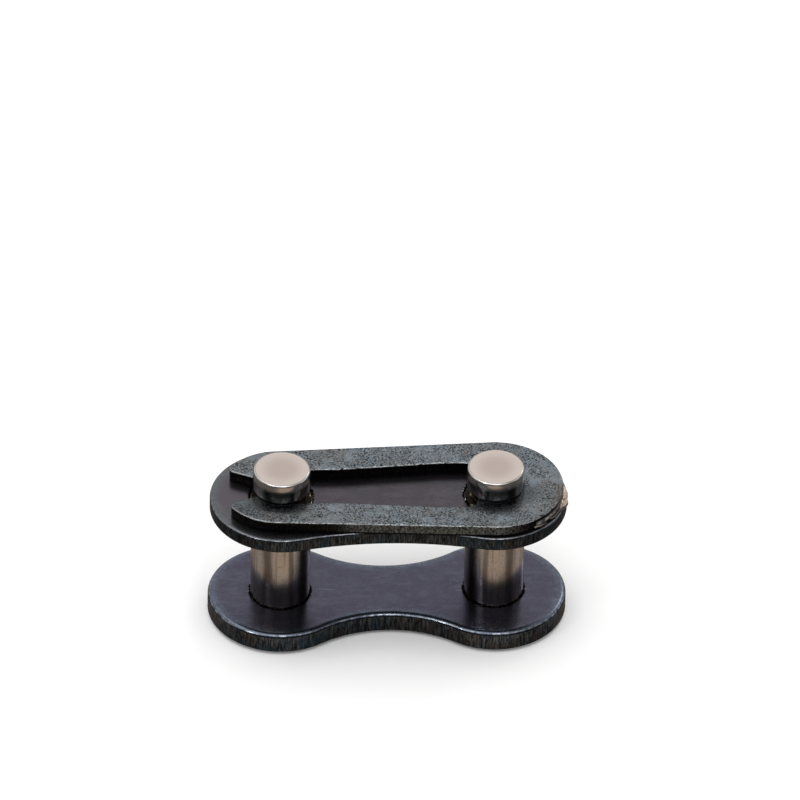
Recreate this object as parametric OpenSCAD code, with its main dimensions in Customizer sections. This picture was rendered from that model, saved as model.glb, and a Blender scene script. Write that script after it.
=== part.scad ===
// Bicycle chain connecting link with a spring clip: a back plate with two riveted pins,
// a loose cover plate and a flat spring clip that snaps into the grooves of the pins.
// The back plate lies flat, the pins stand up, and the closed end of the clip points to +X.

/* [Chain] */
// Distance between the two pins, half an inch on every bicycle chain
pitch = 12.7; // [12:0.1:13.4]
// Clear height between the two plates, where the roller links go
inner_gap = 6.3; // [4.5:0.1:7]

/* [Back plate] */
// Thickness of the plate that carries the pins
back_thickness = 1.25; // [0.9:0.05:1.5]
// Radius of its round ends
back_lobe_radius = 4.3; // [4:0.05:4.6]
// Half the width at the middle of its waist
back_waist_half = 2.38; // [2.1:0.02:3.6]
// Width of the rounded-over rim on the inner face
back_edge_roll = 0.22; // [0.05:0.01:0.3]
// Bevel at the mouth of the pin holes
back_bore_bevel = 0.15; // [0.05:0.01:0.25]

/* [Cover plate] */
// Thickness of the removable plate
cover_thickness = 0.9; // [0.7:0.05:1.2]
// Radius of its round ends
cover_lobe_radius = 4.25; // [4:0.05:4.6]
// Half the width at the middle of its waist
cover_waist_half = 3.5; // [2.4:0.02:3.9]
// Width of the broken edge all round
cover_edge_break = 0.1; // [0.04:0.01:0.2]
// Play between each pin and its hole, on the radius
cover_hole_clearance = 0.08; // [0.03:0.01:0.15]
// Bevel at the mouth of the holes
cover_bore_bevel = 0.12; // [0.04:0.01:0.2]

/* [Pins] */
// Diameter of the bearing length of the pin
pin_diameter = 3.55; // [3.4:0.01:3.7]
// Diameter of the head above the clip
head_diameter = 3.46; // [3.3:0.01:3.5]
// Height of the head above the clip groove
head_height = 1.3; // [0.8:0.05:1.6]
// Rounding of the head's rim
head_rim = 0.12; // [0.05:0.01:0.2]
// Diameter at the bottom of the clip groove
neck_diameter = 2.9; // [2.6:0.02:3.1]
// Diameter of the riveted end outside the back plate
rivet_diameter = 4.1; // [3.7:0.05:4.6]
// How far the riveted end stands out
rivet_height = 0.22; // [0.1:0.02:0.4]

/* [Spring clip] */
// Thickness of the clip
clip_thickness = 0.75; // [0.6:0.05:0.9]
// How far the closed end lies inside the round end of the cover plate
clip_closed_inset = 0.22; // [0.05:0.01:0.5]
// How far the open end lies inside the round end of the cover plate
clip_open_inset = 0.87; // [0.5:0.01:1.2]
// How far that round stands off the open-end pin, towards the tips
clip_open_shift = 0.2; // [0:0.05:0.4]
// Half the slot width beside the open-end pin
slot_half_open = 1.55; // [1.5:0.01:1.7]
// Half the slot width near the closed end
slot_half_closed = 2.05; // [1.7:0.01:2.3]
// Distance from the open-end pin to where the slot starts to widen
slot_taper_start = 3.4; // [2:0.1:5]
// Distance from the closed-end pin to where the slot has its full width
slot_taper_end = 3.2; // [2.6:0.1:5]
// Length of the shoulder between the slot and the closed-end groove
slot_shoulder = 0.4; // [0:0.05:0.6]
// Radius of the slot's inner corners
slot_corner_radius = 0.85; // [0.4:0.05:1]
// Half the throat that snaps over the open-end pin
throat_half = 0.7; // [0.6:0.01:1.1]
// Radius of the rounded tips
tip_radius = 0.34; // [0.15:0.01:0.4]
// Angle from the clip's middle line to each tip, seen from the open end's round
tip_angle = 35; // [25:1:45]
// Play between the clip and the groove, along the pin
groove_clearance = 0.03; // [0.01:0.01:0.1]
// How far the torn stub at the closed end stands out, where the clip broke off its strip
tear_reach = 0.38; // [0.1:0.02:0.5]
// Height of that torn edge above the cover plate
tear_height = 0.25; // [0.15:0.05:0.6]

/* [Hidden] */
$fn = 96;
over = 1;
seam = 0.01;
half_pitch = pitch / 2;
pin_r = pin_diameter / 2;
head_r = head_diameter / 2;
neck_r = neck_diameter / 2;
rivet_r = rivet_diameter / 2;
rivet_bevel = rivet_height / 2;
cover_hole_r = pin_r + cover_hole_clearance;
back_low = rivet_height;
back_top = back_low + back_thickness;
cover_low = back_top + inner_gap;
cover_top = cover_low + cover_thickness;
clip_top = cover_top + clip_thickness;
groove_low = cover_top - groove_clearance;
groove_high = clip_top + groove_clearance;
pin_top = groove_high + head_height;
shoulder_bevel = 0.1;
head_bevel = 0.05;
clip_closed_radius = cover_lobe_radius - clip_closed_inset;
clip_open_radius = cover_lobe_radius - clip_open_inset;
open_x = -half_pitch - clip_open_shift;
tip_x = open_x - (clip_open_radius - tip_radius) * cos(tip_angle);
tip_y = (clip_open_radius - tip_radius) * sin(tip_angle);
throat_x = -half_pitch - sqrt(neck_r * neck_r - throat_half * throat_half);
steel = [0.33, 0.35, 0.39];
clip_grey = [0.5, 0.53, 0.56];
nickel = [0.78, 0.74, 0.71];

// Height of the centre of the waist arc that runs into both round ends without a corner
function waist_centre(lobe, waist) =
    (half_pitch * half_pitch - (lobe - waist) * (lobe - waist)) / (2 * (lobe - waist));

module at_pins() {
    for (side = [-1, 1]) translate([side * half_pitch, 0, 0]) children();
}

// One round end with its edges broken
module lobe(radius, thick, low_break, high_break) {
    rotate_extrude()
        polygon([[0, 0], [radius - low_break, 0], [radius, low_break],
                 [radius, thick - high_break], [radius - high_break, thick], [0, thick]]);
}

// Cutter for one side of the waist, with the same broken edges
module waist_cutter(radius, thick, low_break, high_break) {
    rotate_extrude()
        polygon([[0, -over], [radius + low_break, -over], [radius + low_break, 0],
                 [radius, low_break], [radius, thick - high_break],
                 [radius + high_break, thick], [radius + high_break, thick + over],
                 [0, thick + over]]);
}

module plate_blank(radius, waist, thick, low_break, high_break) {
    centre = waist_centre(radius, waist);
    at_pins() lobe(radius, thick, low_break, high_break);
    difference() {
        linear_extrude(thick)
            polygon([[half_pitch, 0], [0, centre], [-half_pitch, 0], [0, -centre]]);
        for (side = [-1, 1]) translate([0, side * centre, 0])
            waist_cutter(centre - waist + seam, thick, low_break, high_break);
    }
}

module bore(radius, thick, low_bevel, high_bevel) {
    rotate_extrude()
        polygon([[0, -over], [radius + low_bevel, -over], [radius + low_bevel, 0],
                 [radius, low_bevel], [radius, thick - high_bevel],
                 [radius + high_bevel, thick], [radius + high_bevel, thick + over],
                 [0, thick + over]]);
}

module back_plate() {
    color(steel) translate([0, 0, back_low]) difference() {
        plate_blank(back_lobe_radius, back_waist_half, back_thickness, 0.08, back_edge_roll);
        at_pins() bore(pin_r, back_thickness, 0, back_bore_bevel);
    }
}

module cover_plate() {
    color(steel) translate([0, 0, cover_low]) difference() {
        plate_blank(cover_lobe_radius, cover_waist_half, cover_thickness,
                    cover_edge_break, cover_edge_break);
        at_pins() bore(cover_hole_r, cover_thickness, cover_bore_bevel, cover_bore_bevel);
    }
}

module pin() {
    rotate_extrude()
        polygon([[0, 0], [rivet_r - 2 * rivet_bevel, 0], [rivet_r, rivet_bevel],
                 [rivet_r, rivet_height], [pin_r, rivet_height],
                 [pin_r, groove_low - shoulder_bevel], [pin_r - shoulder_bevel, groove_low],
                 [neck_r, groove_low], [neck_r, groove_high],
                 [head_r - head_bevel, groove_high], [head_r, groove_high + head_bevel],
                 [head_r, pin_top - head_rim], [head_r - 0.3 * head_rim, pin_top - 0.3 * head_rim],
                 [head_r - head_rim, pin_top], [0, pin_top]]);
}

module open_end_pin() {
    color(nickel) translate([-half_pitch, 0, 0]) pin();
}

module closed_end_pin() {
    color(nickel) translate([half_pitch, 0, 0]) pin();
}

// Straight flanks of the clip, running just inside the tangents of both round ends
module clip_flanks() {
    lean = asin((clip_closed_radius - clip_open_radius) / (half_pitch - open_x));
    big = clip_closed_radius - seam;
    small = clip_open_radius - seam;
    polygon([[half_pitch - big * sin(lean), big * cos(lean)],
             [open_x - small * sin(lean), small * cos(lean)],
             [open_x - small * sin(lean), -small * cos(lean)],
             [half_pitch - big * sin(lean), -big * cos(lean)]]);
}

// Opening between the arms: a seat for each groove and the slot that widens between them
module clip_slot() {
    corner_x = half_pitch - neck_r - slot_corner_radius + slot_shoulder;
    corner_y = slot_half_closed - slot_corner_radius;
    play = slot_half_open - neck_r;
    at_pins() circle(neck_r);
    for (side = [-1, 1]) translate([corner_x, side * corner_y]) circle(slot_corner_radius);
    polygon([[corner_x, -slot_half_closed], [corner_x, slot_half_closed],
             [half_pitch - slot_taper_end, slot_half_closed],
             [-half_pitch + slot_taper_start, slot_half_open],
             [-half_pitch + play, slot_half_open], [-half_pitch + play, -slot_half_open],
             [-half_pitch + slot_taper_start, -slot_half_open],
             [half_pitch - slot_taper_end, -slot_half_closed]]);
    translate([corner_x, -corner_y]) square([slot_corner_radius, 2 * corner_y]);
    translate([-half_pitch + play, 0]) intersection() {
        circle(slot_half_open);
        translate([-2 * slot_half_open, -slot_half_open]) square(2 * slot_half_open);
    }
}

// Flared mouth that guides the clip over the open-end pin, up to the middle of each tip
module clip_mouth() {
    run = sqrt(pow(throat_x - tip_x, 2) + pow(tip_y - throat_half, 2));
    flare = atan2(tip_y - throat_half, throat_x - tip_x) - asin(tip_radius / run);
    edge_x = tip_x + tip_radius * sin(-flare);
    edge_y = tip_y - tip_radius * cos(flare);
    far = clip_open_radius + over;
    polygon([[-half_pitch, throat_half], [throat_x, throat_half], [edge_x, edge_y],
             [tip_x, tip_y], [open_x - far * cos(tip_angle), far * sin(tip_angle)],
             [open_x - 2 * far, 0],
             [open_x - far * cos(tip_angle), -far * sin(tip_angle)], [tip_x, -tip_y],
             [edge_x, -edge_y], [throat_x, -throat_half], [-half_pitch, -throat_half]]);
}

// A point at an angle round the closed-end pin, standing out by a share of the tear's reach
function tear_point(angle, share) =
    (clip_closed_radius + share * tear_reach) * [cos(angle), sin(angle)];

// Ragged stub and lip of the broken strip, low on the closed end and towards the front
module torn_edge() {
    translate([half_pitch, 0]) linear_extrude(tear_height)
        polygon([tear_point(8, -1), tear_point(7, 0.02), tear_point(3, 0.4),
                 tear_point(-4, 0.72), tear_point(-9, 0.68), tear_point(-14, 1),
                 tear_point(-19, 0.84), tear_point(-22, 0.5), tear_point(-29, 0.36),
                 tear_point(-34, 0.4), tear_point(-38, 0.3), tear_point(-40, 0.04),
                 tear_point(-44, 0.04), tear_point(-46, 0.36), tear_point(-52, 0.3),
                 tear_point(-58, 0.02), tear_point(-59, -1), tear_point(-26, -1)]);
}

module spring_clip() {
    color(clip_grey) translate([0, 0, cover_top]) {
        linear_extrude(clip_thickness) {
            difference() {
                union() {
                    translate([half_pitch, 0]) circle(clip_closed_radius);
                    translate([open_x, 0]) circle(clip_open_radius);
                    clip_flanks();
                }
                clip_slot();
                clip_mouth();
            }
            for (side = [-1, 1]) translate([tip_x, side * tip_y]) circle(tip_radius);
        }
        torn_edge();
    }
}

back_plate();
open_end_pin();
closed_end_pin();
cover_plate();
spring_clip();
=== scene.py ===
"""Looks of a bicycle chain connecting link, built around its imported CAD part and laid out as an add-on."""

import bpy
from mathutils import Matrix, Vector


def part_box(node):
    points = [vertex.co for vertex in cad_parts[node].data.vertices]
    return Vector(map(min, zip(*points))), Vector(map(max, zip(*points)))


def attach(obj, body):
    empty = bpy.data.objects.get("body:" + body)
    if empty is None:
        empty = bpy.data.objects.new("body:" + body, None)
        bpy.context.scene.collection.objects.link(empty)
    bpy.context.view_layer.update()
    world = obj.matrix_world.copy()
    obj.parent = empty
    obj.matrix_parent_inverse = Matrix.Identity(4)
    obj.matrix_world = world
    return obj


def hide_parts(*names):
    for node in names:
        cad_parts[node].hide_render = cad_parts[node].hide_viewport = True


bl_info = {
    "name": "Chain connecting link",
    "version": (1, 0, 0),
    "blender": (4, 5, 0),
    "location": "3D View > Sidebar > Chain link",
    "description": "Builds the plates, pins and spring clip of a chain connecting link with their finishes",
    "category": "Object",
}

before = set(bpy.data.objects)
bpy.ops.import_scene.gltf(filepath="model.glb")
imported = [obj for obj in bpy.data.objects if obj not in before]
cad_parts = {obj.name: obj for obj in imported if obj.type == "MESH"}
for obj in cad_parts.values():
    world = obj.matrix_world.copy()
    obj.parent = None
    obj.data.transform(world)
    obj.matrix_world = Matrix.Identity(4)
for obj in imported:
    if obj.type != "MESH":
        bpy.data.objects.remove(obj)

import math

import bmesh
import bpy
from bpy.props import FloatProperty, FloatVectorProperty, PointerProperty
from mathutils import Matrix, Vector

MM = 0.001
BODY = "root"

# Points closer than these count as one: in a new piece, and in the mesh taken from the CAD
NEAR = 1e-7
CAD_NEAR = 2e-7

# Edges shorter than this are dropped, and faces of the CAD mesh that bend less than this are joined
SHORT = 1e-9
CAD_BEND = math.radians(0.5)

# Corners sharper than this get rounded, and faces this level get a narrow border that keeps them flat
CORNER = math.radians(60)
LEVEL = 0.9999
FLAT_INSET = 0.1 * MM

# Roundings of the plates and the clip that have no setting of their own
BACK_LOWER_RIM = 0.09 * MM
COVER_BORE_BEVELS = (0.1 * MM, 0.12 * MM)
RIM_SEGMENTS, BORE_SEGMENTS, CLIP_SEGMENTS = 8, 4, 5
CLIP_LOWER_SHARE = 0.7

# How far past the clip's round end a point belongs to the torn stub
STUB_START = 2e-6

# Angles in degrees above which an edge stays sharp in the shading
SMOOTH_PLATE, SMOOTH_PIN, SMOOTH_CLIP = 35, 50, 32

# Pins: the rivet's rounding, the play of the clip's groove, the shoulder below it and the head's lower edge,
# then the points beside an edge that keep the shading even, and the width of the head's rim with its crease
RIVET_FLAT = 0.34 * MM
RIVET_ROUND = 0.24 * MM
RIVET_LIFT = 0.14 * MM
RIVET_CORNER = 0.01 * MM
GROOVE_PLAY = 0.03 * MM
SHOULDER = 0.08 * MM
HEAD_FOOT = 0.09 * MM
HEAD_FOOT_RISE = 0.02 * MM
EVEN = 0.05 * MM
EVEN_SHAFT = 0.2 * MM
CREASE_SHARE = 1.4
RIVET_ANGLES = (20, 45, 70, 90)
LEAN_STEPS = (0, 0.25, 0.5, 0.75, 1)
DISH_STEPS = (1.0, 0.9, 0.75, 0.6, 0.45, 0.3, 0.15, 0.0)
SHOULDER_SEGMENTS, HEAD_SEGMENTS = 4, 8

# Start and end of each scratch on the back plate, in millimetres
SCRATCHES = (((-4.2, 0.06), (-3.1, 0.0)), ((4.1, -0.18), (4.45, -0.23)))


# Sizes and colours


class LinkSizes(bpy.types.PropertyGroup):
    """Sizes that the finished pieces add to the CAD solids, in metres"""

    back_waist: FloatProperty(
        name="Back plate waist", description="Half width of the back plate at its waist",
        default=2.38 * MM, unit="LENGTH")
    back_roll: FloatProperty(
        name="Back plate rim", description="Width of the rolled rim on the inner face",
        default=0.34 * MM, unit="LENGTH")
    back_roll_depth: FloatProperty(
        name="Rim depth", description="Depth of that rolled rim", default=0.25 * MM, unit="LENGTH")
    cover_waist: FloatProperty(
        name="Cover plate waist", description="Half width of the cover plate at its waist",
        default=3.5 * MM, unit="LENGTH")
    cover_roll: FloatProperty(
        name="Cover plate rim", description="Rounding of the cover plate's edges",
        default=0.13 * MM, unit="LENGTH")
    hole_bevel: FloatProperty(
        name="Hole bevel", description="Bevel of the back plate's bores on the inner face",
        default=0.13 * MM, unit="LENGTH")
    cover_hole: FloatProperty(
        name="Cover hole", description="Radius of the cover plate's holes", default=1.855 * MM, unit="LENGTH")
    clip_edge: FloatProperty(
        name="Clip edge", description="Rounding of the clip's upper edges", default=0.11 * MM, unit="LENGTH")
    pin_shaft: FloatProperty(
        name="Pin shaft", description="Radius of the pins between the plates", default=1.775 * MM, unit="LENGTH")
    pin_neck: FloatProperty(
        name="Pin neck", description="Radius of the groove that holds the clip", default=1.45 * MM, unit="LENGTH")
    pin_head: FloatProperty(
        name="Pin head", description="Radius of the head above the clip", default=1.73 * MM, unit="LENGTH")
    head_rim: FloatProperty(
        name="Head rim", description="Rounding of the head's rim", default=0.15 * MM, unit="LENGTH")
    head_crown: FloatProperty(
        name="Head crown", description="Height of the part of the head's side that leans in",
        default=0.45 * MM, unit="LENGTH")
    head_lean: FloatProperty(
        name="Head lean", description="How far that part leans in at its top", default=0.045 * MM, unit="LENGTH")
    head_dish: FloatProperty(
        name="Head dish", description="Hollow in the middle of the head", default=0.03 * MM, unit="LENGTH")
    arc_step: FloatProperty(
        name="Arc step", description="Angle between two points on a round outline",
        default=math.radians(2.5), unit="ROTATION")


class LinkColours(bpy.types.PropertyGroup):
    """Colours of the finishes"""

    plate: FloatVectorProperty(
        name="Blued plate", description="Flat faces of the back plate", subtype="COLOR",
        default=(0.098, 0.098, 0.133))
    cover: FloatVectorProperty(
        name="Cover plate", description="Flat faces of the cover plate", subtype="COLOR",
        default=(0.1, 0.093, 0.108))
    clip: FloatVectorProperty(
        name="Clip", description="Flat faces of the spring clip", subtype="COLOR",
        default=(0.222, 0.242, 0.258))
    nickel: FloatVectorProperty(
        name="Nickel", description="Plating of the pins", subtype="COLOR", default=(0.82, 0.76, 0.71))
    bare: FloatVectorProperty(
        name="Bare steel", description="Fresh metal on the torn edge of the clip", subtype="COLOR",
        default=(0.95, 0.88, 0.84))


def sizes():
    return bpy.context.scene.link_sizes


def colours():
    return bpy.context.scene.link_colours


# Meshes


def draw_arc(bm, start, centre, angle, step):
    """Draws an arc of edges from the vertex start round a centre, and gives its last vertex."""
    steps = max(2, math.ceil(abs(angle) / step))
    return bmesh.ops.spin(bm, geom=[start], cent=(*centre, start.co.z), axis=(0, 0, 1), angle=angle,
                          steps=steps)["geom_last"][0]


def half_plate(bm, z, half_pitch, lobe, waist, bore, step):
    """Fills the half of a plate above its middle line: round ends, a waist that runs into them, and both bores."""
    drop = lobe - waist
    centre = (half_pitch ** 2 - drop ** 2) / (2 * drop)
    turn = math.atan2(centre, -half_pitch)
    start = bm.verts.new((half_pitch + lobe, 0, z))
    end = draw_arc(bm, start, (half_pitch, 0), turn, step)
    end = draw_arc(bm, end, (0, centre), math.pi - 2 * turn, step)
    end = draw_arc(bm, end, (-half_pitch, 0), turn, step)
    for x in (-half_pitch, half_pitch):
        side = bm.verts.new((x - bore, 0, z))
        bm.edges.new((end, side))
        end = draw_arc(bm, side, (x, 0), -math.pi, step)
    bm.edges.new((end, start))
    bmesh.ops.edgeloop_fill(bm, edges=bm.edges[:])


def round_edges(bm, edges, width, segments):
    bmesh.ops.bevel(bm, geom=edges, offset=width, offset_type="OFFSET", affect="EDGES", segments=segments,
                    profile=0.5, material=-1, clamp_overlap=False)


def rim_edges(bm, z, wanted):
    """Sharp edges at height z whose two ends the given test wants."""
    return [e for e in bm.edges if e.calc_face_angle(0) > CORNER
            and all(abs(v.co.z - z) < NEAR and wanted(v.co.xy) for v in e.verts)]


def rounded(reach, depth, count):
    """Quarter of an ellipse from a side up to a face, as (inset, drop) pairs."""
    return [(reach * (1 - math.cos(a)), depth * (1 - math.sin(a)))
            for a in [0.5 * math.pi * i / count for i in range(count + 1)]]


def finish_mesh(name, bm, node, material, angle):
    """Turns a bmesh into a piece that stands for a CAD node and rides with the frame."""
    bmesh.ops.remove_doubles(bm, verts=bm.verts, dist=NEAR)
    bmesh.ops.dissolve_degenerate(bm, edges=bm.edges, dist=SHORT)
    bmesh.ops.recalc_face_normals(bm, faces=bm.faces)
    if bm.calc_volume(signed=True) < 0:
        bmesh.ops.reverse_faces(bm, faces=bm.faces)
    mesh = bpy.data.meshes.new(name)
    bm.to_mesh(mesh)
    bm.free()
    mesh.shade_smooth()
    mesh.set_sharp_from_angle(angle=math.radians(angle))
    mesh.materials.append(material)
    piece = bpy.data.objects.new(name, mesh)
    bpy.context.scene.collection.objects.link(piece)
    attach(piece, BODY)
    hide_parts(node)
    return piece


def plate_mesh(half_pitch, lobe, waist, bore, heights, rims, bores, step):
    """A flat plate with two bores. Rims are (width, depth) and bores are widths, the lower one first."""
    bm = bmesh.new()
    half_plate(bm, heights[0], half_pitch, lobe, waist, bore, step)
    bmesh.ops.mirror(bm, geom=bm.verts[:] + bm.edges[:] + bm.faces[:], axis="Y", merge_dist=NEAR)
    raised = bmesh.ops.extrude_face_region(bm, geom=bm.faces[:])["geom"]
    bmesh.ops.translate(bm, vec=(0, 0, heights[1] - heights[0]),
                        verts=[v for v in raised if isinstance(v, bmesh.types.BMVert)])
    bmesh.ops.recalc_face_normals(bm, faces=bm.faces)

    def at_bore(place):
        return any(abs((place - Vector((x, 0))).length - bore) < NEAR for x in (-half_pitch, half_pitch))

    for z, (width, depth), bore_width in zip(heights, rims, bores):
        round_edges(bm, rim_edges(bm, z, lambda place: not at_bore(place)), width, RIM_SEGMENTS)
        bmesh.ops.scale(bm, vec=(1, 1, depth / width), space=Matrix.Translation((0, 0, -z)),
                        verts=[v for v in bm.verts if abs(v.co.z - z) < width + NEAR])
        if bore_width:
            round_edges(bm, rim_edges(bm, z, at_bore), bore_width, BORE_SEGMENTS)
    bm.normal_update()
    bmesh.ops.inset_region(bm, faces=[f for f in bm.faces if abs(f.normal.z) > LEVEL], thickness=FLAT_INSET,
                           use_even_offset=True)
    return bm


def turned_mesh(x, profile, count=128):
    """A solid of revolution round the vertical line at x, from (radius, z) pairs that start and end on it."""
    bm = bmesh.new()
    line = [bm.verts.new((x + r, 0, z)) for r, z in profile]
    edges = [bm.edges.new(pair) for pair in zip(line, line[1:])]
    bmesh.ops.spin(bm, geom=line + edges, cent=(x, 0, 0), axis=(0, 0, 1), angle=2 * math.pi, steps=count,
                   use_merge=True)
    return bm


# Shader maths


class Sock:
    """An output socket, or a number, that understands arithmetic."""

    def __init__(self, graph, value):
        self.graph, self.value = graph, value

    def _math(self, op, *others, flip=False):
        parts = [self, *others]
        if flip:
            parts.reverse()
        return self.graph.math(op, *parts)

    def __add__(self, other):
        return self._math("ADD", other)

    def __radd__(self, other):
        return self._math("ADD", other, flip=True)

    def __sub__(self, other):
        return self._math("SUBTRACT", other)

    def __rsub__(self, other):
        return self._math("SUBTRACT", other, flip=True)

    def __mul__(self, other):
        return self._math("MULTIPLY", other)

    def __rmul__(self, other):
        return self._math("MULTIPLY", other, flip=True)

    def __pow__(self, other):
        return self._math("POWER", other)

    def __neg__(self):
        return self._math("MULTIPLY", -1.0)

    def abs(self):
        return self._math("ABSOLUTE")

    def least(self, other):
        return self._math("MINIMUM", other)

    def most(self, other):
        return self._math("MAXIMUM", other)

    def clamp(self):
        return self.least(1.0).most(0.0)


class Graph:
    """A node tree with one method that makes any node."""

    def __init__(self, tree):
        self.tree = tree
        tree.nodes.clear()

    def node(self, kind, settings=None, inputs=None):
        made = self.tree.nodes.new(kind)
        for key, value in (settings or {}).items():
            setattr(made, key, value)
        for key, value in (inputs or {}).items():
            self.feed(made.inputs[key], value)
        return made

    def feed(self, socket, value):
        if isinstance(value, Sock):
            value = value.value
        if isinstance(value, bpy.types.NodeSocket):
            self.tree.links.new(value, socket)
        elif hasattr(socket.default_value, "__len__") and not hasattr(value, "__len__"):
            socket.default_value = [value] * len(socket.default_value)
        elif socket.type == "RGBA" and len(value) == 3:
            socket.default_value = (*value, 1.0)
        else:
            socket.default_value = value

    def out(self, node, name=0):
        return Sock(self, node.outputs[name])

    def math(self, op, *parts):
        return self.out(self.node("ShaderNodeMath", {"operation": op}, dict(enumerate(parts))))

    def mix(self, factor, a, b, blend="MIX"):
        made = self.node("ShaderNodeMix", {"data_type": "RGBA", "blend_type": blend, "clamp_factor": True},
                         {0: factor, 6: a, 7: b})
        return self.out(made, 2)

    def blend(self, factor, a, b):
        made = self.node("ShaderNodeMix", {"data_type": "FLOAT", "clamp_factor": True}, {0: factor, 2: a, 3: b})
        return self.out(made, 0)

    def scale(self, vector, by):
        made = self.node("ShaderNodeVectorMath", {"operation": "MULTIPLY"}, {0: vector, 1: by})
        return self.out(made)

    def shift(self, vector, by):
        made = self.node("ShaderNodeVectorMath", {"operation": "ADD"}, {0: vector, 1: by})
        return self.out(made)

    def ramp(self, value, low, high):
        made = self.node("ShaderNodeMapRange", {"interpolation_type": "SMOOTHSTEP"},
                         {"Value": value, "From Min": low, "From Max": high})
        return self.out(made)

    def noise(self, vector, scale, detail=3.0, rough=0.55):
        made = self.node("ShaderNodeTexNoise", {"noise_dimensions": "3D"},
                         {"Vector": vector, "Scale": scale, "Detail": detail, "Roughness": rough})
        return self.out(made, "Fac")

    def cells(self, vector, scale):
        made = self.node("ShaderNodeTexVoronoi", {"feature": "F1"}, {"Vector": vector, "Scale": scale})
        return self.out(made, "Distance")

    def axes(self, vector):
        made = self.node("ShaderNodeSeparateXYZ", inputs={0: vector})
        return [self.out(made, i) for i in range(3)]

    def place(self):
        """Object coordinates in millimetres."""
        made = self.node("ShaderNodeTexCoord")
        return self.scale(self.out(made, "Object"), (1000, 1000, 1000))

    def normal(self):
        made = self.node("ShaderNodeTexCoord")
        return self.axes(self.out(made, "Normal"))

    def reach(self, a, b):
        return (a * a + b * b) ** 0.5

    def stroke(self, x, y, start, end, width):
        """1 along the straight line from start to end, in millimetres, fading out at its sides and ends."""
        run = Vector(end) - Vector(start)
        ahead = run.normalized()
        along = (x - start[0]) * ahead.x + (y - start[1]) * ahead.y
        off = (y - start[1]) * ahead.x - (x - start[0]) * ahead.y
        ends = self.ramp(along, -0.1, 0.1) * (1.0 - self.ramp(along, run.length - 0.1, run.length + 0.1))
        return ends * (1.0 - self.ramp(off.abs(), 0.4 * width, width))

    def bump(self, height, strength, distance):
        made = self.node("ShaderNodeBump", inputs={"Strength": strength, "Distance": distance, "Height": height})
        return self.out(made)

    def metal(self, colour, rough, bump):
        shader = self.node("ShaderNodeBsdfPrincipled", inputs={
            "Base Color": colour, "Roughness": rough, "Metallic": 1.0, "Normal": bump})
        self.node("ShaderNodeOutputMaterial", inputs={"Surface": shader.outputs[0]})


def new_material(name):
    material = bpy.data.materials.new(name)
    material.use_nodes = True
    return material, Graph(material.node_tree)


# Materials


# Back and cover plate: scratches, the painted shade and painted glints of the ring round a pin, sheared sides, worn
# rims with a painted highlight, and the painted shade line below them
SCRATCH_PALE = (0.35, 0.36, 0.4)
RING_SHADE, RING_GLINT = (0.006, 0.006, 0.007), (0.42, 0.45, 0.48)
SHEAR_DARK, SHEAR_PALE = (0.025, 0.03, 0.035), (0.27, 0.31, 0.34)
SHEAR_BROWN, SHEAR_BLUE = (0.14, 0.105, 0.08), (0.07, 0.14, 0.2)
SHEAR_TICK = (0.5, 0.6, 0.66)
RIM_WORN_HIGHLIGHT, RIM_SHADOW = (0.72, 0.78, 0.82), (0.03, 0.045, 0.06)

# Clip: brown patches, pits, specks, glints, painted shade on the tip, sides with painted shade and a painted lit
# part, a painted rim highlight, and the tear with painted shade on its stub
CLIP_PATCH = (0.24, 0.225, 0.2)
PIT, SPECK, GLINT = (0.018, 0.021, 0.023), (0.02, 0.022, 0.025), (0.6, 0.66, 0.7)
TIP_SHADE = (0.06, 0.065, 0.07)
SIDE_FOOT_SHADE = (0.005, 0.005, 0.005)
SIDE_SHADED_LOW, SIDE_LIT_LOW = (0.008, 0.007, 0.007), (0.05, 0.05, 0.05)
SIDE_SHADED_HIGH, SIDE_LIT_HIGH = (0.03, 0.025, 0.022), (0.26, 0.285, 0.28)
CLIP_RIM_HIGHLIGHT = (0.9, 0.9, 0.88)
SCORCH, STUB_SHADE, STUB_END = (0.16, 0.12, 0.08), (0.03, 0.025, 0.02), (0.66, 0.54, 0.43)

# Pins: painted reflection bands, dim and bright painted reflection stripes, drawn marks, painted dark reflection
# low on the shafts, spots, the head's dish with painted shade in its middle, a painted rim highlight with a painted
# shade line inside it, and painted shade with painted glints in the groove
BAND_REFLECTION, DIM_REFLECTION, BRIGHT_REFLECTION = (0.25, 0.2, 0.17), (0.17, 0.14, 0.12), (1.0, 0.98, 0.96)
DRAWN, LOW_SHAFT_REFLECTION, SPOT = (0.25, 0.2, 0.165), (0.1, 0.085, 0.078), (0.3, 0.24, 0.2)
DISH_MIDDLE_SHADE, DISH_EDGE = (0.7, 0.6, 0.55), (0.86, 0.77, 0.71)
HEAD_RIM_HIGHLIGHT, HEAD_RIM_SHADE = (1.0, 0.96, 0.92), (0.22, 0.18, 0.16)
GROOVE_SHADE, GROOVE_GLINT = (0.028, 0.021, 0.016), (0.55, 0.45, 0.32)


def edge_gap(g, x, y, half, lobe, waist):
    """Distance of a point from a plate's outline, in millimetres, from its lobe or its waist arc."""
    drop = lobe - waist
    centre = (half ** 2 - drop ** 2) / (2 * drop)
    radius = centre - waist
    meet = half - lobe * half / (lobe + radius)
    from_lobe = lobe - g.reach(x.abs() - half, y)
    from_waist = g.reach(x, y.abs() - centre) - radius
    return g.blend(g.ramp(x.abs(), meet - 0.01, meet + 0.01), from_waist, from_lobe)


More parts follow.
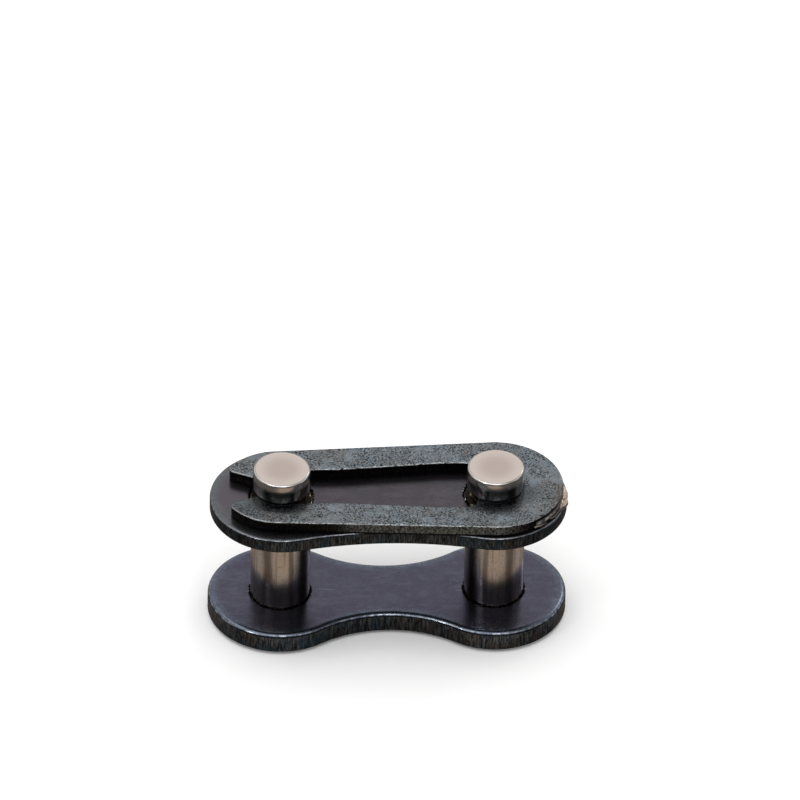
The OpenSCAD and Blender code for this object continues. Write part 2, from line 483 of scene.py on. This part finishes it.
def plate_material(name, face, warm, half, lobe, waist, bore, scratches=(), pale_end=0.0, shade=1.0):
    """Satin blued steel: flat faces with a faint grain, sheared sides with streaks, worn rims with a painted
    highlight, a painted shade line below them, and painted shade round the pins and on faces that look down.
    """
    material, g = new_material(name)
    p = g.place()
    x, y = g.axes(p)[:2]
    nz = g.normal()[2]
    flat = g.ramp(nz.abs(), 0.55, 0.97)
    side = 1.0 - g.ramp(nz.abs(), 0.12, 0.36)
    flank = (1.0 - g.ramp(nz.abs(), 0.5, 0.64)) * (1.0 - side)
    grain = g.noise(p, 9.0, 4.0, 0.7)
    cloud = g.noise(p, 0.45, 3.0, 0.5)
    brushed = g.noise(g.scale(p, (0.8, 14.0, 1.0)), 1.4, 3.0, 0.6)
    tint = g.mix(g.ramp(cloud, 0.35, 0.65), face, warm)
    tint = g.mix(pale_end * (1.0 - g.ramp(x, -half - 2.6, -half + 0.5)), tint, [1.7 * c for c in face])
    tint = g.mix(0.5 * g.ramp(grain, 0.35, 0.7), tint, [min(1.0, 1.5 * c) for c in face])
    wiped = g.noise(g.scale(p, (0.8, 2.6, 1.0)), 1.0, 5.0, 0.75)
    tint = g.mix(0.6 * g.ramp(wiped, 0.48, 0.6), tint, [1.5 * c for c in face])
    gap = edge_gap(g, x, y, half, lobe, waist)
    flecks = g.ramp(g.noise(p, 4.5, 5.0, 0.75), 0.4, 0.62)
    band = (1.0 - g.ramp(gap + 0.9 * g.noise(p, 1.2, 4.0, 0.65), 0.5, 1.3)) * flat
    tint = g.mix(band * (0.25 + 0.65 * flecks), tint, [c * f for c, f in zip(face, (2.1, 2.7, 2.5))])
    tint = g.mix(0.3 * g.ramp(g.noise(p, 2.6, 5.0, 0.7), 0.45, 0.7), tint, [1.7 * c for c in face])
    for start, end in scratches:
        tint = g.mix(0.5 * g.stroke(x, y, start, end, 0.03), tint, SCRATCH_PALE)
    r = g.reach(x.abs() - half, y)
    # Painted shade with painted glints in a ring round each pin, where the plate's bore meets it
    seat = (1.0 - g.ramp(r, bore + 0.11, bore + 0.16)) * g.ramp(nz, 0.1, 0.3)
    ring = g.mix(g.ramp(g.noise(p, 7.0, 4.0, 0.75), 0.54, 0.6), RING_SHADE, RING_GLINT)
    streak = g.noise(g.scale(p, (11.0, 11.0, 1.5)), 1.0, 4.0, 0.7)
    patch = g.noise(g.scale(p, (1.1, 1.1, 0.9)), 0.8, 2.0, 0.5)
    shear = g.mix(g.ramp(streak, 0.4, 0.66), SHEAR_DARK, SHEAR_PALE)
    shear = g.mix(0.45 * g.ramp(patch, 0.5, 0.62), shear, SHEAR_BROWN)
    shear = g.mix(0.5 * (1.0 - g.ramp(patch, 0.36, 0.48)), shear, SHEAR_BLUE)
    tick = g.ramp(g.noise(g.scale(p, (12.0, 12.0, 4.0)), 1.0, 4.0, 0.75), 0.6, 0.68)
    # Sheared sides scaled by the shade factor, which on the cover plate is painted shade
    shear = g.scale(g.mix(0.6 * tick, shear, SHEAR_TICK).value, (shade, shade, shade))
    # Painted shade: faces that look down are darkened
    tint = g.mix(g.ramp(-nz, 0.3, 0.8), tint, [0.4 * c for c in face])
    colour = g.mix(side, tint, shear)
    # Rims lighter where worn, with a painted highlight on the same broken band
    worn_and_highlight = (1.0 - flat) * (1.0 - side) * g.ramp(g.noise(p, 4.0, 4.0, 0.65), 0.4, 0.62)
    colour = g.mix(0.85 * worn_and_highlight, colour, RIM_WORN_HIGHLIGHT)
    # Painted shade: a dark line on the outer part of the rolled rim
    colour = g.mix(0.85 * flank, colour, RIM_SHADOW)
    colour = g.mix(seat, colour, ring)
    rough = g.blend(side, 0.18 + 0.1 * cloud + 0.06 * grain, 0.42)
    rough = g.blend(worn_and_highlight, rough, 0.14)
    height = 0.12 * grain + 0.12 * brushed + side * streak * 2.0
    g.metal(colour, rough, g.bump(height, 0.35, 0.03 * MM))
    return material


def clip_material():
    """Satin blue-grey tumbled steel with dark specks, bare metal where it was torn off its strip, and painted
    shade, reflection and highlights on its tip, sides, rims and round the pin heads.
    """
    material, g = new_material("clip_steel")
    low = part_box("spring_clip")[0].z / MM
    p = g.place()
    x, y, z = g.axes(p)
    nz = g.normal()[2]
    top = g.ramp(nz.abs(), 0.6, 0.95)
    fine = g.noise(p, 9.0, 4.0, 0.7)
    mottle = g.noise(p, 1.6, 4.0, 0.65)
    patch = g.noise(g.shift(p, (3.0, 7.0, 0.0)), 0.45, 2.0, 0.5)
    base = colours().clip
    tint = g.mix(g.ramp(mottle, 0.38, 0.62), base, [1.26 * base[0], 1.38 * base[1], 1.48 * base[2]])
    tint = g.mix(0.3 * g.ramp(patch, 0.5, 0.62), tint, CLIP_PATCH)
    pits = g.ramp(fine, 0.5, 0.55) * g.ramp(g.noise(p, 0.9, 2.0, 0.5), 0.3, 0.5)
    tint = g.mix(0.92 * pits, tint, PIT)
    speck = (1.0 - g.ramp(g.cells(p, 3.4), 0.14, 0.26)) * g.ramp(g.noise(p, 1.3, 2.0, 0.5), 0.42, 0.54)
    tint = g.mix(0.85 * speck, tint, SPECK)
    glint = g.ramp(g.noise(g.shift(p, (11.0, 2.0, 5.0)), 9.0, 2.0, 0.5), 0.56, 0.66)
    tint = g.mix(0.45 * glint, tint, GLINT)
    # Painted shade on the clip's open tip
    tip = (1.0 - g.ramp(x, -9.2, -5.6)) * (1.0 - g.ramp(y, -1.8, -1.0))
    tint = g.mix(0.45 * tip, tint, TIP_SHADE)
    half = centre_of("closed_end_pin") / MM
    # Round the pin heads the clip is smoother, and darkened with a painted reflection of the heads
    polish_and_reflection = (1.0 - g.ramp(g.reach(x.abs() - half, y) + 0.6 * mottle, 2.3, 3.6)) * (1.0 - g.ramp(y, -0.8, 0.6))
    tint = g.mix(0.75 * polish_and_reflection, tint, [0.45 * c for c in base])
    grit = g.noise(g.scale(p, (9.0, 9.0, 6.0)), 1.0, 4.0, 0.7)
    # Painted light on the clip's sides: painted shade along most of them, painted lit on the open front arm, and a
    # painted shade line at the foot
    side_lit = (1.0 - g.ramp(y, -3.3, -3.1)) * g.ramp(x, -3.5, -1.5) * (1.0 - g.ramp(x, 6.5, 8.5))
    low_tone = g.mix(side_lit, SIDE_SHADED_LOW, SIDE_LIT_LOW)
    high_tone = g.mix(side_lit, SIDE_SHADED_HIGH, SIDE_LIT_HIGH)
    side = g.mix(g.ramp(grit, 0.42, 0.58), low_tone, high_tone)
    side = g.mix(g.ramp(z, low + 0.1, low + 0.2), SIDE_FOOT_SHADE, side)
    colour = g.mix(top, side, tint)
    # Painted highlight along the clip's upper rims
    rim = (1.0 - top) * g.ramp(nz, 0.25, 0.5)
    rim = rim * g.ramp(g.noise(p, 3.2, 4.0, 0.65), 0.36, 0.56).most(1.0 - g.ramp(x, -8.2, -7.2))
    colour = g.mix(0.9 * rim, colour, CLIP_RIM_HIGHLIGHT)
    torn, scorch, stub, end = tear_masks(g, p, x, y, z, nz)
    colour = g.mix(0.6 * scorch, colour, SCORCH)
    # Painted shade on the torn stub
    colour = g.mix(0.9 * stub, colour, STUB_SHADE)
    colour = g.mix(torn, colour, g.mix(end, colours().bare, STUB_END))
    rough = g.blend(polish_and_reflection, 0.2 + 0.18 * mottle + 0.35 * pits, 0.1)
    rough = g.blend(torn.most(rim), rough, 0.26)
    height = fine * 0.5 - speck - pits * 0.6 + 2.0 * torn * g.noise(p, 6.0, 4.0, 0.7)
    g.metal(colour, rough, g.bump(height, 0.4, 0.03 * MM))
    return material


def tear_masks(g, p, x, y, z, nz):
    """The bare ragged line where the strip was torn off, the brown tint beside it, the whole stub and its end."""
    low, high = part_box("spring_clip")
    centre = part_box("closed_end_pin")
    cx = 500.0 * (centre[0].x + centre[1].x)
    out = g.reach(x - cx, y)
    radius = 500.0 * (high.y - low.y)
    right = g.ramp(x, cx + 0.9, cx + 1.2)
    ragged = g.noise(p, 3.2, 4.0, 0.7)
    stub = g.ramp(out, radius + 0.005, radius + 0.03) * right
    end = g.ramp(x, cx + 3.7, cx + 4.0)
    upper = g.ramp(z + 0.12 * ragged, low.z / MM + 0.19, low.z / MM + 0.24)
    line = (1.0 - g.ramp(nz, 0.35, 0.7)) * upper
    torn = stub * g.ramp(ragged, 0.34, 0.42) * line.most(end)
    scorch = g.ramp(out + 0.9 * ragged, radius - 0.5, radius + 0.5) * g.ramp(x, cx + 3.0, cx + 3.8)
    scorch = scorch * (1.0 - g.ramp(y, -0.6, 0.6))
    return torn, scorch, stub, end


def nickel_material():
    """Satin nickel plate: drawn bands in the surface with painted reflection bands and stripes over the shafts and
    head walls, painted highlights and shade on the heads, painted shade in the grooves, and a faint warm bloom on
    the heads.
    """
    material, g = new_material("pin_nickel")
    p = g.place()
    x, y, z = g.axes(p)
    nz = g.normal()[2]
    clip_low, clip_high = [v.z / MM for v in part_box("spring_clip")]
    half = 1000.0 * centre_of("closed_end_pin")
    r = g.reach(x.abs() - half, y)
    top = g.ramp(nz, 0.9, 0.99)
    upright = 1.0 - g.ramp(nz.abs(), 0.25, 0.6)
    head = g.ramp(z, clip_high + 0.05, clip_high + 0.1)
    bloom = g.noise(g.scale(p, (0.7, 0.7, 0.4)), 1.0, 3.0, 0.5)
    drawn = g.noise(g.scale(p, (6.0, 6.0, 0.3)), 1.0, 3.0, 0.6)
    bands = g.noise(g.scale(p, (1.7, 1.7, 0.05)), 1.0, 3.0, 0.6)
    grain = g.noise(p, 8.0, 3.0, 0.6)
    base = colours().nickel
    colour = g.mix(g.ramp(bloom, 0.3, 0.7), base, [0.93 * base[0], 0.88 * base[1], 0.82 * base[2]])
    dull = upright * (1.0 - head)
    # Painted reflection: dim and bright stripes at fixed places round each pin, mirrored from side to side
    across = x.abs() - half + 0.3 * g.noise(g.scale(p, (0.9, 0.9, 0.3)), 1.0, 3.0, 0.6) - 0.15
    dim_reflection = (1.0 - g.ramp((across - 0.84).abs(), 0.1, 0.32)).most(1.0 - g.ramp((across + 0.58).abs(), 0.04, 0.2))
    dim_reflection = dim_reflection.most(1.0 - g.ramp(across, -1.5, -1.12))
    bright_reflection = (1.0 - g.ramp((across + 0.9).abs(), 0.08, 0.24)).most(1.0 - g.ramp((across - 1.34).abs(), 0.08, 0.26))
    # Painted reflection bands down the shafts
    colour = g.mix(0.3 * dull * g.ramp(bands, 0.54, 0.62), colour, BAND_REFLECTION)
    colour = g.mix(0.68 * dull * dim_reflection, colour, DIM_REFLECTION)
    # Painted dark reflection of the plate on the low part of each shaft
    low_reflection = 1.0 - g.ramp(z + 1.6 * g.noise(g.scale(p, (1.5, 1.5, 0.8)), 1.0, 4.0, 0.65), 3.4, 5.0)
    colour = g.mix(0.85 * dull * bright_reflection * (1.0 - 0.7 * low_reflection), colour, BRIGHT_REFLECTION)
    colour = g.mix(0.45 * dull * g.ramp(drawn, 0.48, 0.66), colour, DRAWN)
    colour = g.mix(0.72 * dull * low_reflection, colour, LOW_SHAFT_REFLECTION)
    colour = g.mix(0.35 * dull * g.ramp(g.noise(p, 7.0, 4.0, 0.7), 0.5, 0.66), colour, SPOT)
    # Painted reflection on the head's walls: dark, with the dim and bright stripes
    wall = 1.0 - g.ramp(nz, 0.0, 0.12)
    head_wall_reflection = g.mix(dim_reflection, [0.2 * c for c in base], [0.05 * c for c in base])
    head_wall_reflection = g.mix(0.65 * bright_reflection, head_wall_reflection, [0.85 * c for c in base])
    colour = g.mix(wall * head, colour, head_wall_reflection)
    # Painted shade: the head's top darker towards its middle
    dish = g.mix(g.ramp(r, 0.5, 1.6), DISH_MIDDLE_SHADE, DISH_EDGE)
    # Painted highlight on the head's rim
    colour = g.mix(head * g.ramp(nz, 0.3, 0.5), colour, HEAD_RIM_HIGHLIGHT)
    # Painted shade line just inside the head's rim
    rim_shade_line = head * g.ramp(nz, 0.9, 0.94) * (1.0 - g.ramp(nz, 0.975, 0.985))
    colour = g.mix(0.75 * rim_shade_line, g.mix(top, colour, dish), HEAD_RIM_SHADE)
    # Painted shade with painted glints in the groove under the head
    groove_glints = g.ramp(g.noise(g.scale(p, (1.6, 1.6, 5.0)), 1.0, 4.0, 0.7), 0.53, 0.6)
    groove_shade = g.mix(groove_glints, GROOVE_SHADE, GROOVE_GLINT)
    groove = g.ramp(z, clip_low - 0.45, clip_low - 0.25) * (1.0 - g.ramp(z, clip_high + 0.02, clip_high + 0.05))
    colour = g.mix(groove, colour, groove_shade)
    rough = g.blend(top, 0.13 + 0.08 * bloom + 0.05 * grain, 0.32)
    rough = g.blend(groove, rough, 0.5)
    height = (0.7 * drawn + 0.8 * bands) * (1.0 - top) + 0.08 * grain
    g.metal(colour, rough, g.bump(height, 0.25, 0.012 * MM))
    return material


def centre_of(node):
    low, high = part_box(node)
    return 0.5 * (low.x + high.x)


# Operators, one for each piece and one for the stage


class LINK_OT_back_plate(bpy.types.Operator):
    """Builds the back plate with its rolled rim"""

    bl_idname = "link.back_plate"
    bl_label = "Back plate"

    def execute(self, context):
        s = sizes()
        low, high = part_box("back_plate")
        half = centre_of("closed_end_pin")
        radius = s.pin_shaft
        bm = plate_mesh(half, high.y, s.back_waist, radius, (low.z, high.z),
                        ((BACK_LOWER_RIM, BACK_LOWER_RIM), (s.back_roll, s.back_roll_depth)), (0, s.hole_bevel),
                        s.arc_step)
        face = tuple(colours().plate)
        material = plate_material("plate_steel", face, (0.92 * face[0], 0.9 * face[1], 0.96 * face[2]),
                                  half / MM, high.y / MM, s.back_waist / MM, radius / MM, SCRATCHES)
        finish_mesh("back_plate_piece", bm, "back_plate", material, SMOOTH_PLATE)
        return {"FINISHED"}


class LINK_OT_cover_plate(bpy.types.Operator):
    """Builds the cover plate with its clearance holes"""

    bl_idname = "link.cover_plate"
    bl_label = "Cover plate"

    def execute(self, context):
        s = sizes()
        low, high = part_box("cover_plate")
        half = centre_of("closed_end_pin")
        bm = plate_mesh(half, high.y, s.cover_waist, s.cover_hole, (low.z, high.z),
                        ((s.cover_roll, s.cover_roll), (s.cover_roll, s.cover_roll)), COVER_BORE_BEVELS, s.arc_step)
        face = tuple(colours().cover)
        # The cover plate's sides are darkened to half: painted shade
        material = plate_material("cover_steel", face, (1.02 * face[0], 0.93 * face[1], 0.92 * face[2]),
                                  half / MM, high.y / MM, s.cover_waist / MM, s.cover_hole / MM, pale_end=0.8, shade=0.5)
        finish_mesh("cover_plate_piece", bm, "cover_plate", material, SMOOTH_PLATE)
        return {"FINISHED"}


def pin_profile(s, low, high, plate_low, clip_low, clip_high):
    """Half section of a pin from the middle of its rivet up to the middle of its head, as (radius, z) pairs."""
    rivet = 0.5 * (high.x - low.x)
    shaft = s.pin_shaft
    groove_low, groove_high = clip_low - GROOVE_PLAY, clip_high + GROOVE_PLAY
    profile = [(0, low.z), (rivet - RIVET_FLAT, low.z)]
    profile += [(rivet - RIVET_ROUND * (1 - math.sin(a)), low.z + RIVET_LIFT * (1 - math.cos(a)))
                for a in map(math.radians, RIVET_ANGLES)]
    profile += [(rivet, plate_low - RIVET_CORNER), (rivet - RIVET_CORNER, plate_low), (shaft, plate_low)]
    profile += [(shaft, plate_low + EVEN), (shaft, groove_low - EVEN_SHAFT)]
    profile += [(shaft - i, groove_low - d) for i, d in rounded(SHOULDER, SHOULDER, SHOULDER_SEGMENTS)]
    profile += [(s.pin_neck, groove_low), (s.pin_neck, groove_high)]
    crown = high.z - s.head_crown - s.head_rim
    profile += [(s.pin_head - HEAD_FOOT, groove_high), (s.pin_head - HEAD_FOOT / 3, groove_high + HEAD_FOOT_RISE),
                (s.pin_head, groove_high + HEAD_FOOT), (s.pin_head, crown - EVEN)]
    profile += [(s.pin_head - s.head_lean * t * t, crown + s.head_crown * t) for t in LEAN_STEPS]
    edge = s.pin_head - s.head_lean
    profile += [(edge - i, high.z - d) for i, d in rounded(s.head_rim, s.head_rim, HEAD_SEGMENTS)[1:]]
    inner = edge - CREASE_SHARE * s.head_rim
    profile += [(inner * t, high.z - s.head_dish * (1 - t * t)) for t in DISH_STEPS]
    return profile


class LINK_OT_pins(bpy.types.Operator):
    """Builds both pins, turned, with their rivets, grooves and heads"""

    bl_idname = "link.pins"
    bl_label = "Pins"

    def execute(self, context):
        s = sizes()
        material = nickel_material()
        clip_low, clip_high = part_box("spring_clip")
        plate_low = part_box("back_plate")[0].z
        for node in ("open_end_pin", "closed_end_pin"):
            low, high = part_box(node)
            profile = pin_profile(s, low, high, plate_low, clip_low.z, clip_high.z)
            bm = turned_mesh(0.5 * (low.x + high.x), profile)
            finish_mesh(node + "_piece", bm, node, material, SMOOTH_PIN)
        return {"FINISHED"}


class LINK_OT_spring_clip(bpy.types.Operator):
    """Builds the spring clip from the outline of its CAD solid, with rounded edges"""

    bl_idname = "link.spring_clip"
    bl_label = "Spring clip"

    def execute(self, context):
        s = sizes()
        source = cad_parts["spring_clip"].data
        low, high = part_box("spring_clip")
        bm = bmesh.new()
        bm.from_mesh(source)
        bmesh.ops.remove_doubles(bm, verts=bm.verts, dist=CAD_NEAR)
        bmesh.ops.dissolve_limit(bm, angle_limit=CAD_BEND, verts=bm.verts, edges=bm.edges)
        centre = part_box("closed_end_pin")
        hub = 0.5 * (centre[0] + centre[1])
        round_end = 0.5 * (high.y - low.y) + STUB_START

        def before_stub(place):
            return (place - hub.xy).length < round_end or place.x < hub.x

        for z, width in ((high.z, s.clip_edge), (low.z, CLIP_LOWER_SHARE * s.clip_edge)):
            round_edges(bm, rim_edges(bm, z, before_stub), width, CLIP_SEGMENTS)
        finish_mesh("spring_clip_piece", bm, "spring_clip", clip_material(), SMOOTH_CLIP)
        return {"FINISHED"}


# Name, place, size in metres, power in watts and colour of each lamp, and the point that all of them aim at
LAMPS = (
    ("key", (-0.10, 0.02, 0.45), 0.45, 0.55, (1.0, 0.99, 0.98)),
    ("spark", (0.03, -0.20, 0.40), 0.07, 0.07, (1.0, 0.99, 0.98)),
    ("edge", (-0.28, -0.22, 0.37), 0.05, 0.12, (0.98, 0.99, 1.0)),
    ("rear", (0.25, 0.32, 0.30), 0.12, 0.12, (1.0, 0.98, 0.96)),
)
LAMP_AIM = (0, 0, 0.005)

# Half of the floor's width in metres
FLOOR_HALF = 3.0

# Painted glow of the floor as the metal sees it: in front, behind, far to the sides, and a painted shadow under the
# link
TABLE_FRONT, TABLE_BEHIND = (0.34, 0.285, 0.24), (0.55, 0.53, 0.51)
TABLE_ASIDE, TABLE_UNDER_SHADOW = (0.05, 0.05, 0.055), (0.02, 0.02, 0.022)

# Camera: angles, pixels in a metre and in the image's width, distance, sensor, and the aim's offset in pixels
LIFT, ROLL, YAW = math.radians(38.99), math.radians(1.09), math.radians(2.66)
PER_METRE = 16804.0
IMAGE_WIDTH = 800.0
DISTANCE = 1.5
SENSOR = 36.0
AIM_RIGHT, AIM_UP = 13.627, 205.117


class LINK_OT_stage(bpy.types.Operator):
    """Sets the floor, the lights, the world and the camera"""

    bl_idname = "link.stage"
    bl_label = "Stage"

    def execute(self, context):
        scene = context.scene
        scene.view_settings.view_transform = "Standard"
        floor_mesh = bpy.data.meshes.new("floor")
        bm = bmesh.new()
        bmesh.ops.create_grid(bm, x_segments=1, y_segments=1, size=FLOOR_HALF)
        bm.to_mesh(floor_mesh)
        bm.free()
        floor = bpy.data.objects.new("floor", floor_mesh)
        scene.collection.objects.link(floor)
        floor_mesh.materials.append(floor_material())

        for name, place, size, power, colour in LAMPS:
            light = bpy.data.lights.new(name, "AREA")
            light.shape = "SQUARE"
            light.size = size
            light.energy = power
            light.color = colour
            lamp = bpy.data.objects.new(name, light)
            scene.collection.objects.link(lamp)
            lamp.matrix_world = Matrix.Translation(place) @ (
                Vector(LAMP_AIM) - Vector(place)).to_track_quat("-Z", "Y").to_matrix().to_4x4()

        world_setup(scene)
        camera_setup(scene)
        return {"FINISHED"}


def floor_material():
    """A pale floor with a soft shadow, which the metal sees as a glowing warm table that is brighter behind, with a
    painted shadow under the link.
    """
    material, g = new_material("floor_pale")
    x, y = g.axes(g.place())[:2]
    seen = g.out(g.node("ShaderNodeLightPath"), "Is Glossy Ray")
    behind = g.ramp(y, 5.0, 14.0)
    aside = g.ramp(x.abs(), 8.0, 20.0)
    warm = g.mix(behind, TABLE_FRONT, TABLE_BEHIND)
    warm = g.mix(0.8 * aside, warm, TABLE_ASIDE)
    under_shadow = (1.0 - g.ramp(y.abs(), 3.5, 7.0)) * (1.0 - g.ramp(x.abs(), 9.0, 14.0))
    warm = g.mix(0.85 * under_shadow, warm, TABLE_UNDER_SHADOW)
    mirror = g.node("ShaderNodeEmission", inputs={"Color": warm, "Strength": 1.0})
    diffuse = g.node("ShaderNodeBsdfDiffuse", inputs={"Color": (0.97, 0.97, 0.97, 1)})
    both = g.node("ShaderNodeMixShader", inputs={0: seen, 1: diffuse.outputs[0], 2: mirror.outputs[0]})
    g.node("ShaderNodeOutputMaterial", inputs={"Surface": both.outputs[0]})
    return material


def world_setup(scene):
    """White for the camera, even light for the floor, and for the metal a glow behind and a strip in front."""
    world = bpy.data.worlds.new("studio")
    world.use_nodes = True
    g = Graph(world.node_tree)
    path = g.node("ShaderNodeLightPath")
    mirror = g.out(path, "Is Glossy Ray")
    seen = g.out(path, "Is Camera Ray")
    direction = g.axes(g.out(g.node("ShaderNodeTexCoord"), "Generated"))
    back = g.ramp(direction[1], -0.45, 0.05)
    side = g.ramp(direction[0].abs(), 0.35, 0.9)
    overhead = g.ramp(direction[2], 0.74, 0.94)
    front = (1.0 - g.ramp(direction[1], -0.32, -0.2)) * (1.0 - g.ramp(direction[2], 0.9, 0.96))
    strip = front * (0.16 * g.ramp(direction[2], 0.3, 0.5) + 0.85 * g.ramp(direction[2], 0.7, 0.8))
    glow = ((0.02 + 0.66 * back) * (1.0 - 0.45 * side) * (1.0 - 0.75 * overhead)).most(strip)
    tint = g.mix(back, (0.92, 0.96, 1.0), (1.0, 0.98, 0.97))
    colour = g.mix(mirror, (1.0, 1.0, 1.0), tint)
    strength = g.blend(mirror, g.blend(seen, 0.95, 1.0), glow)
    shade = g.node("ShaderNodeBackground", inputs={"Color": colour, "Strength": strength})
    g.node("ShaderNodeOutputWorld", inputs={"Surface": shade.outputs[0]})
    scene.world = world


def camera_setup(scene):
    """A long lens that looks down on the front, placed so that the link stands where the photograph shows it."""
    across = Vector((math.cos(YAW), -math.sin(YAW), 0))
    upright = Vector((math.sin(LIFT) * math.sin(YAW), math.sin(LIFT) * math.cos(YAW), math.cos(LIFT)))
    right = across * math.cos(ROLL) + upright * math.sin(ROLL)
    up = upright * math.cos(ROLL) - across * math.sin(ROLL)
    back = right.cross(up)
    aim = Vector((0, 0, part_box("back_plate")[0].z)) + right * (AIM_RIGHT / PER_METRE) + up * (AIM_UP / PER_METRE)
    data = bpy.data.cameras.new("camera")
    data.sensor_width = SENSOR
    data.lens = SENSOR * DISTANCE * PER_METRE / IMAGE_WIDTH
    data.clip_start = 0.01
    data.clip_end = 50.0
    camera = bpy.data.objects.new("camera", data)
    scene.collection.objects.link(camera)
    turn = Matrix((right, up, back)).transposed().to_4x4()
    camera.matrix_world = Matrix.Translation(aim + back * DISTANCE) @ turn
    scene.camera = camera


class LINK_PT_panel(bpy.types.Panel):
    """Sizes, colours and build steps of the connecting link"""

    bl_label = "Chain link"
    bl_idname = "LINK_PT_panel"
    bl_space_type = "VIEW_3D"
    bl_region_type = "UI"
    bl_category = "Chain link"

    def draw(self, context):
        column = self.layout.column()
        for group in (context.scene.link_sizes, context.scene.link_colours):
            for key in group.__annotations__:
                column.prop(group, key)
        for step in STEPS:
            column.operator(step.bl_idname)


STEPS = (LINK_OT_back_plate, LINK_OT_cover_plate, LINK_OT_pins, LINK_OT_spring_clip, LINK_OT_stage)
CLASSES = (LinkSizes, LinkColours, *STEPS, LINK_PT_panel)


def register():
    for item in CLASSES:
        bpy.utils.register_class(item)
    bpy.types.Scene.link_sizes = PointerProperty(type=LinkSizes)
    bpy.types.Scene.link_colours = PointerProperty(type=LinkColours)


def unregister():
    del bpy.types.Scene.link_colours
    del bpy.types.Scene.link_sizes
    for item in reversed(CLASSES):
        bpy.utils.unregister_class(item)


def main():
    register()
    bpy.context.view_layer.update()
    for step in ("back_plate", "cover_plate", "pins", "spring_clip", "stage"):
        getattr(bpy.ops.link, step)()


if __name__ == "__main__":
    main()
